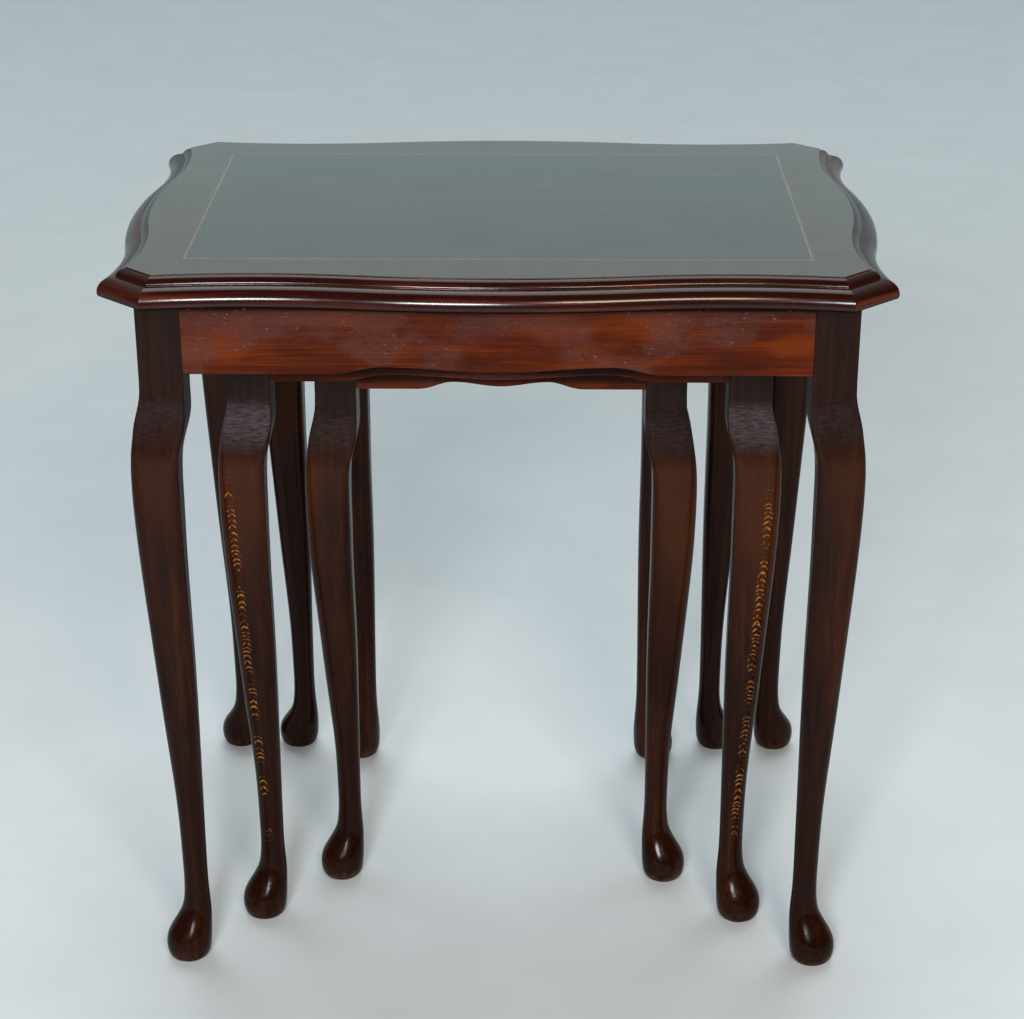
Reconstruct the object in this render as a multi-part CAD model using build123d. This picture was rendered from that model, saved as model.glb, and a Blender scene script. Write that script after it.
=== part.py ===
from build123d import *
from math import acos, asin, atan2, cos, degrees, pi, sin
import os

os.makedirs("parts", exist_ok=True)

# A nest of three occasional tables. The medium and small tables stand on their own feet
# under the large one and slide out of its open back.
# Frame: millimetres, origin on the floor under the middle of the large table,
# +X to the right, +Y to the back, +Z up.

# ---- heights ----
large_height = 530.0
height_step = 26.0
top_thickness = 19.0
veneer = 0.8
apron_height = 50.5

# ---- plan: outer faces of the legs' square blocks ----
leg_face_x = {"large": 237.6, "medium": 187.5, "small": 133.0}
leg_front_y = {"large": -167.3, "medium": -111.0, "small": -56.0}
leg_back_y = {"large": 167.3, "medium": 166.9, "small": 148.0}
block = 29.5

# ---- plan: the top's upper edge, measured outwards from the leg faces ----
top_over_x = {"large": 6.2, "medium": -2.9, "small": 2.2}
top_over_y = {"large": 1.1, "medium": 1.1, "small": 1.1}
cant_x = 18.7
cant_y = 17.2
hollow_depth = {"large": 5.0, "medium": 4.2, "small": 3.2}
bulge_height = {"large": 5.0, "medium": 4.2, "small": 3.6}
hollow_at = 0.69

# ---- moulded edge, outwards and down from the top's upper edge ----
ovolo_out = 6.0
ovolo_down = 5.0
quirk_down = 6.0
quirk_out = 7.4
nose_out = 17.2
nose_down = 15.0
nose_flat_down = 16.6
nose_foot_out = 15.0
ovolo_fullness = (0.66, 0.46)
swell_fullness = (0.74, 0.34)
under_fullness = 0.7
lipping_width = 12.0
edge_reach_in = 19.0
mitre_reach_out = 60.0
mitre_run_on = 22.0
mitre_glue_line = 0.05
mitre_cut_margin = 5.0

# ---- inlaid string ----
string_inset = 35.0
string_width = 1.4

# ---- aprons, battens and their fixings ----
apron_thickness = 18.0
apron_setback = 0.8
batten_height = 20.0
front_batten_thickness = 12.5
side_batten_gap = 0.4
dowel_radius = 4.0
dowel_length = 30.0
dowel_in_leg = 14.0
dowel_depths = (13.0, 37.0)
dowel_hole_room = 1.0
glue_room = 0.05
screw_length = 31.0
screw_shank_radius = 2.0
screw_head_radius = 4.0
screw_head_height = 2.6
screw_slot_width = 1.0
screw_slot_depth = 1.1
screw_room = 0.1
front_screw_shares = (-0.75, 0.0, 0.75)
side_screw_shares = (0.2, 0.8)
back_screw_shares = (-0.6, 0.6)

# ---- shaped lower edge of the front aprons: half-spans and heights of the two shallow arches ----
arch_end = {"large": 112.0, "medium": 112.0, "small": 60.0}
arch_peak = {"large": 76.0, "medium": 76.0, "small": 34.0}
arch_height = 5.4
arch_middle_height = {"large": 1.5, "medium": 1.5, "small": 2.0}
apron_edge_round = 1.0
shortest_rounded_edge = 10.0
face_tolerance = 0.01

TABLES = ("large", "medium", "small")


def table_height(name):
    return large_height - height_step * TABLES.index(name)


def under_top(name):
    """Height of the underside of a table's top."""
    return table_height(name) - top_thickness


def corner_signs():
    """The four legs: name, side in X, side in Y."""
    return (
        ("front_left", -1, -1),
        ("front_right", 1, -1),
        ("back_left", -1, 1),
        ("back_right", 1, 1),
    )


def has_back_apron(name):
    """Only the smallest table has nothing sliding in from behind."""
    return name == "small"


# ---------------------------------------------------------------- legs

def leg_sections(name):
    """Height, outer offset, inner offset and corner radius of each section of a leg.

    Offsets are measured outwards from the block's outer face, the same in X and Y, so the
    leg swells and sweeps along its diagonal. The knee keeps its distance below the top and
    the foot its height over the floor. Only the stretch between them is shorter on the
    lower tables.
    """
    under = under_top(name)
    knee_z = under - 181.0
    ankle_z = 76.0

    def between(share):
        return ankle_z + (knee_z - ankle_z) * share

    return (
        (0.0, 5.2, -19.2, 11.9),
        (2.2, 7.4, -21.4, 14.1),
        (11.0, 9.4, -23.6, 16.2),
        (18.0, 8.4, -24.0, 15.9),
        (25.0, 4.8, -24.1, 14.1),
        (37.0, -2.1, -23.8, 10.6),
        (50.0, -4.6, -23.0, 8.9),
        (ankle_z, -5.0, -22.6, 8.4),
        (between(0.15), -4.3, -22.8, 8.4),
        (between(0.44), 0.0, -23.4, 9.0),
        (between(0.72), 4.2, -23.4, 9.2),
        (knee_z, 8.0, -22.7, 8.4),
        (under - 146.0, 9.1, -22.8, 7.4),
        (under - 118.0, 8.9, -23.1, 6.0),
        (under - 106.0, 8.0, -24.3, 4.5),
        (under - 92.0, 6.0, -28.0, 2.6),
        (under - 84.0, 4.6, -29.3, 1.6),
        (under - 72.0, 1.6, -29.5, 1.1),
        (under - 62.0, 0.2, -29.5, 0.9),
        (under - 56.0, 0.0, -29.5, 0.8),
    )


def leg_blank(name):
    """One leg with its block's outer corner on the Z axis and its toe towards +X +Y."""
    faces = []
    for z, outer, inner, radius in leg_sections(name):
        middle = (outer + inner) / 2
        width = outer - inner
        faces.append(Plane.XY.offset(z) * Pos(middle, middle) * RectangleRounded(width, width, radius))
    shaped = loft(faces)
    block_low = leg_sections(name)[-1][0]
    block_high = under_top(name)
    block_radius = leg_sections(name)[-1][3]
    square = Plane.XY.offset(block_low) * Pos(-block / 2, -block / 2)
    square = square * RectangleRounded(block, block, block_radius)
    return shaped + extrude(square, block_high - block_low)


def leg_at(name, blank, side_x, side_y):
    """A leg turned or mirrored into one corner of its table."""
    leg = blank
    if side_x < 0:
        leg = mirror(leg, about=Plane.YZ)
    if side_y < 0:
        leg = mirror(leg, about=Plane.XZ)
    face_y = leg_back_y[name] if side_y > 0 else leg_front_y[name]
    return Pos(side_x * leg_face_x[name], face_y, 0) * leg


# ---------------------------------------------------------------- aprons and battens

def apron_planes(name):
    """Outer and inner faces of the aprons: X of the side ones, Y of the front and back ones."""
    outer_x = leg_face_x[name] - apron_setback
    front_y = leg_front_y[name] + apron_setback
    back_y = leg_back_y[name] - apron_setback
    return outer_x, outer_x - apron_thickness, front_y, front_y + apron_thickness, back_y


def front_apron(name):
    """A board between the front legs with two shallow arches cut in its lower edge."""
    half = leg_face_x[name] - block
    high = under_top(name)
    low = high - apron_height
    end = arch_end[name]
    peak = arch_peak[name]
    level = (1, 0)
    points = (
        (-end, low),
        (-peak, low + arch_height),
        (0, low + arch_middle_height[name]),
        (peak, low + arch_height),
        (end, low),
    )
    outline = Polyline((end, low), (half, low), (half, high), (-half, high), (-half, low), (-end, low))
    arches = Spline(points, tangents=[level] * len(points))
    face_y = apron_planes(name)[2]
    board = Plane.XZ.offset(-face_y) * make_face([outline, arches])
    return extrude(board, -apron_thickness)


def side_apron(name, side):
    """A plain board between the front and back legs of one side."""
    outer_x, inner_x, _, _, _ = apron_planes(name)
    y0 = leg_front_y[name] + block
    y1 = leg_back_y[name] - block
    z1 = under_top(name)
    return box_between(side * inner_x, side * outer_x, y0, y1, z1 - apron_height, z1)


def back_apron(name):
    """A plain board between the back legs."""
    half = leg_face_x[name] - block
    back_y = apron_planes(name)[4]
    z1 = under_top(name)
    return box_between(-half, half, back_y - apron_thickness, back_y, z1 - apron_height, z1)


def box_between(x0, x1, y0, y1, z0, z1):
    size = (abs(x1 - x0), abs(y1 - y0), abs(z1 - z0))
    return Pos((x0 + x1) / 2, (y0 + y1) / 2, (z0 + z1) / 2) * Box(*size)


def front_batten(name):
    """The strip behind the front apron that screws up into the top and stops the table inside."""
    half = leg_face_x[name] - block
    inner_y = apron_planes(name)[3]
    z1 = under_top(name)
    return box_between(-half, half, inner_y, inner_y + front_batten_thickness, z1 - batten_height, z1)


def side_batten(name, side):
    """The strip inside a side apron, kept clear of the top that slides between the legs."""
    inner_x = apron_planes(name)[1]
    free_x = leg_face_x[name] - block + side_batten_gap
    y0 = leg_front_y[name] + block
    y1 = leg_back_y[name] - block
    z1 = under_top(name)
    return box_between(side * free_x, side * inner_x, y0, y1, z1 - batten_height, z1)


def back_batten(name):
    """The strip inside the back apron."""
    half = leg_face_x[name] - block
    inner_y = apron_planes(name)[4] - apron_thickness
    z1 = under_top(name)
    return box_between(-half, half, inner_y - front_batten_thickness, inner_y, z1 - batten_height, z1)


# ---------------------------------------------------------------- dowels and screws

def rod_along(direction, start, radius, length):
    """A round rod from a start point along a direction."""
    plane = Plane(origin=start, z_dir=direction)
    return extrude(plane * Circle(radius), length)


def dowel_joints(name):
    """Centre of each dowelled face and the direction from the apron into the leg."""
    half = leg_face_x[name] - block
    outer_x, inner_x, front_y, front_in_y, back_y = apron_planes(name)
    joints = []
    for side in (-1, 1):
        joints.append((side * half, (front_y + front_in_y) / 2, (side, 0, 0)))
        side_x = side * (outer_x + inner_x) / 2
        joints.append((side_x, leg_front_y[name] + block, (0, -1, 0)))
        joints.append((side_x, leg_back_y[name] - block, (0, 1, 0)))
        if has_back_apron(name):
            joints.append((side * half, back_y - apron_thickness / 2, (side, 0, 0)))
    return joints


def dowels(name, grow, longer):
    """Every dowel of a table. Grown and lengthened, the same rods cut the holes."""
    rods = []
    for x, y, direction in dowel_joints(name):
        back = dowel_length - dowel_in_leg + longer
        for depth in dowel_depths:
            z = under_top(name) - depth
            start = (x - direction[0] * back, y - direction[1] * back, z)
            rods.append(rod_along(direction, start, dowel_radius + grow, dowel_length + 2 * longer))
    return rods


def screw_places(name):
    """Centre of each screw on the underside of the battens."""
    outer_x, inner_x, _, front_in_y, back_y = apron_planes(name)
    free_x = leg_face_x[name] - block + side_batten_gap
    side_x = (inner_x + free_x) / 2
    half = leg_face_x[name] - block
    front_y = front_in_y + front_batten_thickness / 2
    y_low = leg_front_y[name] + block
    y_high = leg_back_y[name] - block
    places = [(share * half, front_y) for share in front_screw_shares]
    for side in (-1, 1):
        places += [(side * side_x, y_low + share * (y_high - y_low)) for share in side_screw_shares]
    if has_back_apron(name):
        inner_back_y = back_y - apron_thickness - front_batten_thickness / 2
        places += [(share * half, inner_back_y) for share in back_screw_shares]
    return places


def screw_shape(grow):
    """A countersunk wood screw standing on its head, point up, with its head face at Z 0."""
    head_r = screw_head_radius + grow
    shank_r = screw_shank_radius + grow
    tip = screw_length + grow
    profile = Polyline(
        (0, 0),
        (head_r, 0),
        (shank_r, screw_head_height + grow),
        (shank_r, tip - 2 * shank_r),
        (0, tip),
        (0, 0),
    )
    return revolve(Plane.XZ * make_face(profile), Axis.Z)


def screws(name):
    """Every screw of a table, with a straight slot across each head."""
    low = under_top(name) - batten_height
    slot = Box(3 * screw_head_radius, screw_slot_width, 2 * screw_slot_depth)
    screw = screw_shape(0) - slot
    return [Pos(x, y, low) * screw for x, y in screw_places(name)]


def screw_holes(name):
    low = under_top(name) - batten_height
    return [Pos(x, y, low) * screw_shape(screw_room) for x, y in screw_places(name)]


# ---------------------------------------------------------------- tops

def top_corners(name):
    """The eight corners of the top's upper edge, anticlockwise from the front left."""
    x = leg_face_x[name] + top_over_x[name]
    front = leg_front_y[name] - top_over_y[name]
    back = leg_back_y[name] + top_over_y[name]
    return (
        Vector(-x + cant_x, front),
        Vector(x - cant_x, front),
        Vector(x, front + cant_y),
        Vector(x, back - cant_y),
        Vector(x - cant_x, back),
        Vector(-x + cant_x, back),
        Vector(-x, back - cant_y),
        Vector(-x, front + cant_y),
    )


def top_sides(name):
    """The eight lengths of the edge: start, end, and whether it is serpentine."""
    corners = top_corners(name)
    sides = []
    for i, start in enumerate(corners):
        end = corners[(i + 1) % len(corners)]
        sides.append((start, end, i % 2 == 0))
    return sides


def serpentine_plan(name, half):
    """Radii, centres and meeting point of a serpentine side. Outwards is -Y.

    Three tangent arcs, hollow, bulging and hollow, run from (-half, 0) to (half, 0). They
    sink inwards by the hollow's depth and stand out by the bulge at the middle.
    """
    hollow = hollow_depth[name]
    bulge = bulge_height[name]
    deep_x = hollow_at * half
    rise = hollow + bulge
    hollow_r = hollow_radius(name, half)
    both_r = (deep_x ** 2 + rise ** 2) / (2 * rise)
    bulge_r = both_r - hollow_r
    hollow_centre = Vector(deep_x, hollow - hollow_r)
    bulge_centre = Vector(0, bulge_r - bulge)
    meet = bulge_centre + (hollow_centre - bulge_centre) * (bulge_r / both_r)
    return hollow_r, bulge_r, hollow_centre, bulge_centre, meet


def serpentine_arcs(name, half):
    """The upper edge of a serpentine side as three tangent arcs along +X."""
    hollow = hollow_depth[name]
    deep_x = hollow_at * half
    meet = serpentine_plan(name, half)[4]
    return (
        ThreePointArc((-half, 0), (-deep_x, hollow), (-meet.X, meet.Y)),
        ThreePointArc((-meet.X, meet.Y), (0, -bulge_height[name]), (meet.X, meet.Y)),
        ThreePointArc((meet.X, meet.Y), (deep_x, hollow), (half, 0)),
    )


def hollow_radius(name, half):
    """Radius of the hollow arcs, from their depth below the side's straight line."""
    reach = half * (1 - hollow_at)
    hollow = hollow_depth[name]
    return (reach ** 2 + hollow ** 2) / (2 * hollow)


def end_slope(name, half):
    """How far the serpentine leans outwards at its end, in radians."""
    reach = half * (1 - hollow_at)
    return asin(reach / hollow_radius(name, half))


def side_frame(start, end):
    """The place whose X runs along a side from its middle, with outwards at -Y."""
    middle = (start + end) * 0.5
    turn = degrees(atan2(end.Y - start.Y, end.X - start.X))
    return Pos(middle.X, middle.Y, 0) * Rot(0, 0, turn)


def outward_directions(name):
    """Outward normals of the upper edge where each side starts and ends."""
    directions = []
    for start, end, curved in top_sides(name):
        normal = atan2(end.Y - start.Y, end.X - start.X) - pi / 2
        lean = end_slope(name, (end - start).length / 2) if curved else 0.0
        at_start = Vector(cos(normal + lean), sin(normal + lean))
        at_end = Vector(cos(normal - lean), sin(normal - lean))
        directions.append((at_start, at_end))
    return directions


def edge_profile(base, sign):
    """Section of the moulded edge, Y up from the top surface.

    X is base at the upper edge and grows by sign for each millimetre outwards.
    """
    upper = -veneer
    lower = -top_thickness
    swell_out = quirk_out + swell_fullness[0] * (nose_out - quirk_out)
    swell_down = quirk_down + swell_fullness[1] * (nose_down - quirk_down)
    under_out = nose_foot_out + under_fullness * (nose_out - nose_foot_out)
    under_down = nose_flat_down + under_fullness * (top_thickness - nose_flat_down)

    def at(out, height):
        return (base + sign * out, height)

    ovolo_middle = at(ovolo_fullness[0] * ovolo_out, -ovolo_fullness[1] * ovolo_down)
    ovolo_end = at(ovolo_out, -ovolo_down)
    quirk_end = at(quirk_out, -quirk_down)
    nose = at(nose_out, -nose_down)
    nose_low = at(nose_out, -nose_flat_down)
    foot = at(nose_foot_out, lower)
    return make_face([
        ThreePointArc(at(0, upper), ovolo_middle, ovolo_end),
        Polyline(ovolo_end, at(ovolo_out, -quirk_down), quirk_end),
        ThreePointArc(quirk_end, at(swell_out, -swell_down), nose),
        Line(nose, nose_low),
        Polyline(nose_low, at(under_out, -under_down), foot),
        Polyline(foot, at(-edge_reach_in, lower), at(-edge_reach_in, upper), at(0, upper)),
    ])


def turned_edge(centre, radius, sign, from_angle, to_angle):
    """The moulded edge along one arc, turned about the arc's centre. Sign is 1 round a bulge."""
    radial = Vector(cos(from_angle), sin(from_angle))
    section = Plane(origin=centre, x_dir=radial, z_dir=radial.cross(Vector(0, 0, 1)))
    turn = degrees(to_angle - from_angle)
    axis = Axis(centre, (0, 0, 1))
    return revolve(section * edge_profile(radius, sign), axis, revolution_arc=turn)


def serpentine_edge(name, half):
    """The moulded edge of a serpentine side, running on past both its mitres."""
    hollow_r, bulge_r, hollow_centre, bulge_centre, meet = serpentine_plan(name, half)
    run_on = mitre_run_on / hollow_r
    meet_angle = atan2(meet.Y - hollow_centre.Y, meet.X - hollow_centre.X)
    end_angle = acos((half - hollow_centre.X) / hollow_r) - run_on
    right = turned_edge(hollow_centre, hollow_r, -1, end_angle, meet_angle)
    left = mirror(right, about=Plane.YZ)
    bulge_start = atan2(meet.Y - bulge_centre.Y, -meet.X - bulge_centre.X)
    bulge_end = atan2(meet.Y - bulge_centre.Y, meet.X - bulge_centre.X)
    middle = turned_edge(bulge_centre, bulge_r, 1, bulge_start, bulge_end)
    return left + middle + right


def straight_edge(half):
    """The moulded edge of a canted corner, running on past both its mitres."""
    section = Plane(origin=(-half - mitre_run_on, 0), x_dir=(0, -1, 0), z_dir=(-1, 0, 0))
    return extrude(section * edge_profile(0, 1), -2 * (half + mitre_run_on))


def mitre_lines(name):
    """Where each mitre starts at the board and ends beyond the moulding, for each corner."""
    directions = outward_directions(name)
    lines = []
    for index, corner in enumerate(top_corners(name)):
        outwards = (directions[index - 1][1] + directions[index][0]).normalized()
        lines.append((corner - outwards * lipping_width, corner + outwards * mitre_reach_out))
    return lines


def top_board(name):
    """The plain eight-sided board under the veneer, inside the moulded edge."""
    corners = [inner for inner, _ in mitre_lines(name)]
    face = make_face(Polyline(*corners, corners[0]))
    board = extrude(Plane.XY.offset(under_top(name)) * face, top_thickness - veneer)
    for hole in screw_holes(name):
        board -= hole
    return board


def edge_moulding(name):
    """Eight mitred lengths of moulding round the board."""
    mitres = mitre_lines(name)
    lengths = []
    for index, (start, end, curved) in enumerate(top_sides(name)):
        half = (end - start).length / 2
        edge = serpentine_edge(name, half) if curved else straight_edge(half)
        edge = side_frame(start, end) * Pos(0, 0, table_height(name)) * edge
        back_off = (end - start).normalized() * mitre_glue_line / 2
        inner_start, outer_start = [point + back_off for point in mitres[index]]
        inner_end, outer_end = [point - back_off for point in mitres[(index + 1) % len(mitres)]]
        face = make_face(Polyline(inner_start, outer_start, outer_end, inner_end, inner_start))
        level = Plane.XY.offset(under_top(name) - mitre_cut_margin)
        between = extrude(level * face, top_thickness + 2 * mitre_cut_margin)
        lengths.append(edge & between)
    return lengths


def top_outline(name):
    """The upper edge of the top as one closed face at Z 0."""
    edges = []
    for start, end, curved in top_sides(name):
        if curved:
            frame = side_frame(start, end)
            half = (end - start).length / 2
            edges += [frame * arc for arc in serpentine_arcs(name, half)]
        else:
            edges.append(Line(start, end))
    return make_face(edges)


def string_rectangles(name):
    """Outer and inner rectangles of the inlaid string, at Z 0."""
    half_x = leg_face_x[name] + top_over_x[name] - string_inset
    front = leg_front_y[name] - top_over_y[name] + string_inset
    back = leg_back_y[name] + top_over_y[name] - string_inset
    middle = Pos(0, (front + back) / 2)
    outer = middle * Rectangle(2 * half_x, back - front)
    inner = middle * Rectangle(2 * (half_x - string_width), back - front - 2 * string_width)
    return outer, inner


def veneers(name):
    """Centre veneer, string and cross-grained border, laid on the board."""
    outer, inner = string_rectangles(name)
    level = Plane.XY.offset(table_height(name) - veneer)
    centre = extrude(level * inner, veneer)
    string = extrude(level * (outer - inner), veneer)
    border = extrude(level * (top_outline(name) - outer), veneer)
    return centre, string, border


# ---------------------------------------------------------------- a whole table

def as_group(pieces):
    """Separate solids in one compound."""
    solids = []
    for piece in pieces:
        solids += piece.solids()
    return Compound(children=solids)


def drilled(piece, holes):
    for hole in holes:
        piece -= hole
    return piece


def rounded_front(apron, name):
    """The shaped front apron with its lower front edge eased."""
    face_y = apron_planes(name)[2]
    low = under_top(name) - apron_height
    reach = low + arch_height + apron_edge_round / 2
    front_edges = [e for e in apron.edges() if abs(e.center().Y - face_y) < face_tolerance]
    edges = [e for e in front_edges if e.center().Z < reach and e.length > shortest_rounded_edge]
    return fillet(edges, apron_edge_round)


def table_parts(name):
    """Every piece of one table, by the name of its node."""
    rod_holes = dowels(name, glue_room, dowel_hole_room)
    batten_holes = screw_holes(name)
    parts = {}
    blank = leg_blank(name)
    for corner, side_x, side_y in corner_signs():
        parts[corner + "_leg"] = drilled(leg_at(name, blank, side_x, side_y), rod_holes)
    parts["front_apron"] = drilled(rounded_front(front_apron(name), name), rod_holes)
    parts["left_apron"] = drilled(side_apron(name, -1), rod_holes)
    parts["right_apron"] = drilled(side_apron(name, 1), rod_holes)
    parts["front_batten"] = drilled(front_batten(name), batten_holes)
    parts["left_batten"] = drilled(side_batten(name, -1), batten_holes)
    parts["right_batten"] = drilled(side_batten(name, 1), batten_holes)
    if has_back_apron(name):
        parts["back_apron"] = drilled(back_apron(name), rod_holes)
        parts["back_batten"] = drilled(back_batten(name), batten_holes)
    parts["dowels"] = as_group(dowels(name, 0.0, 0.0))
    parts["screws"] = as_group(screws(name))
    parts["top_board"] = top_board(name)
    parts["edge_moulding"] = as_group(edge_moulding(name))
    centre, string, border = veneers(name)
    parts["centre_veneer"] = centre
    parts["string_inlay"] = string
    parts["cross_banding"] = border
    return parts


for table in TABLES:
    for node, shape in table_parts(table).items():
        export_step(shape, f"parts/{table}_{node}.step")
        print(table, node, round(shape.volume), shape.is_valid)
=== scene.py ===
from math import asin, atan2, cos, hypot, pi, radians, sin, sqrt

import bpy
from mathutils import Matrix, Vector


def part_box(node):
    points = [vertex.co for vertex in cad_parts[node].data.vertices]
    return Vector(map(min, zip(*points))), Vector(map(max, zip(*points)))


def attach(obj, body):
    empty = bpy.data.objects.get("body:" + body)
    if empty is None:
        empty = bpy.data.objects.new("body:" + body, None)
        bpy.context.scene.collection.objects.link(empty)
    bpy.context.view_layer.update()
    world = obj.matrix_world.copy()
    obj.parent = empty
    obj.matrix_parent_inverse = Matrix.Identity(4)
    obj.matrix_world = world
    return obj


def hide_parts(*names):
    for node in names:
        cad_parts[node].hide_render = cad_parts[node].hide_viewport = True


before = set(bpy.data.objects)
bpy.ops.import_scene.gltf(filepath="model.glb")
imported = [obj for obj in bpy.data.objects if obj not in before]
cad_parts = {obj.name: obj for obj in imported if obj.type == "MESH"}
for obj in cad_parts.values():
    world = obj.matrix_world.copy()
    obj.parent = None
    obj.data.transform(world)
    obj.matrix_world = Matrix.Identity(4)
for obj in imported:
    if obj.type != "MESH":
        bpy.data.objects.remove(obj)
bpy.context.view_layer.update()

# A nest of three stained and lacquered occasional tables. Metres, in the frame of the CAD model.

TABLES = ("large", "medium", "small")
CORNERS = ("front_left", "front_right", "back_left", "back_right")
X, Y, Z = 0, 1, 2

# ---- colours, linear ----
LEG_DARK = (0.0050, 0.0015, 0.0008)
LEG_MID = (0.0150, 0.0037, 0.0012)
LEG_LIGHT = (0.0430, 0.0115, 0.0028)
LEG_GLOW = (0.0440, 0.0105, 0.0020)
LEG_BLOCK = (0.0065, 0.0019, 0.0010)
LEG_WORN = (0.0950, 0.0450, 0.0240)
FLECK_GOLD = (0.5200, 0.1900, 0.0300)
DUST_AND_SHEEN = (0.1700, 0.1550, 0.1750)
APRON_DARK = (0.0240, 0.0040, 0.0016)
APRON_MID = (0.0600, 0.0092, 0.0022)
APRON_LIGHT = (0.1350, 0.0250, 0.0026)
APRON_DUSTY = (0.0700, 0.0280, 0.0235)
MOULDING_DARK = (0.0080, 0.0014, 0.0008)
MOULDING_MID = (0.0210, 0.0030, 0.0012)
MOULDING_LIGHT = (0.1050, 0.0200, 0.0052)
PAINTED_SHADE_DARK = (0.0030, 0.0012, 0.0008)
TOP_DARK = (0.0150, 0.0060, 0.0036)
TOP_MID = (0.0280, 0.0105, 0.0054)
TOP_LIGHT = (0.0480, 0.0170, 0.0078)
STRING_PALE = (0.20, 0.110, 0.055)
STRING_DARK = (0.12, 0.058, 0.028)
BEECH_DARK = (0.33, 0.195, 0.105)
BEECH_LIGHT = (0.52, 0.350, 0.205)
BOARD_DARK = (0.120, 0.060, 0.030)
BOARD_LIGHT = (0.230, 0.125, 0.065)
STEEL_DARK = (0.28, 0.27, 0.25)
STEEL_LIGHT = (0.62, 0.60, 0.56)

# ---- lacquer over the wood ----
LEG_LACQUER = {"Coat Weight": 0.18, "Coat Roughness": 0.17, "Specular IOR Level": 0.02}
APRON_LACQUER = {"Coat Weight": 0.04, "Coat Roughness": 0.25, "Specular IOR Level": 0.03}
MOULDING_LACQUER = {"Coat Roughness": 0.15, "Specular IOR Level": 0.03}
TOP_LACQUER = {"Coat Weight": 1.0, "Coat Roughness": 0.09, "Specular IOR Level": 0.10}

# ---- legs: how strong the painted warm glow below the knee is, how far the feet are scuffed, and how much dust and painted sheen lie on the knees ----
GLOW = {"large": 0.40, "medium": 0.80, "small": 0.85}
WEAR = {"large": 0.45, "medium": 0.40, "small": 0.75}
KNEE_DUST_AND_SHEEN = {"large": 0.10, "medium": 0.42, "small": 0.12}

# ---- legs: places down from the underside of the top board ----
BLOCK_FULL_DOWN = 0.075
GLOW_TOP_DOWN = 0.085
DUST_AND_SHEEN_FULL_DOWN = 0.088
DUST_AND_SHEEN_LOW_DOWN = 0.106
BLOCK_LOW_DOWN = 0.112
GLOW_FULL_DOWN = 0.15
GLOW_END_DOWN = 0.30

# ---- legs: how far the lower edge of the dark block wanders ----
BLOCK_UNEVENNESS = 0.03

# ---- legs: places up from the floor ----
SCUFF_FULL_Z = 0.001
SCUFF_TOP_Z = 0.014
ANKLE_Z = 0.07
SHIN_Z = 0.12

# ---- the chain of flecks down each front leg of the medium table ----
CHAIN_WIDTH = 0.0034
CHAIN_KNEE_DOWN = 0.14
CHAIN_KNEE_IN = 0.0085
CHAIN_FOOT_IN = 0.022
CHAIN_STRENGTH = 0.62
CHAIN_STARTS_Z = 0.055
CHAIN_FULL_Z = 0.10
CHAIN_FADE = 0.03
RINGS_PER_METRE = 235.0
RING_CUP = 0.75
RING_DRIFT = 6.0

# ---- aprons: painted shade and a painted shadow line under the moulding at the upper edge, and painted shadow above the lower edge of the inner ones ----
SHADE_DEPTH = 0.013
SHADOW_UNDER_MOULDING_LOW_DOWN = 0.0075
SHADOW_UNDER_MOULDING_FULL_DOWN = 0.0045
SHADOW_LOW_UP = 0.003
SHADOW_FULL_UP = 0.008

# ---- mouldings and cross banding ----
WORN_EDGE_RADIUS = 0.0011
MOULDING_COAT = 0.42
UNLACQUERED_ROUGHNESS = 0.75
BANDING_REDNESS = 0.22


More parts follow.
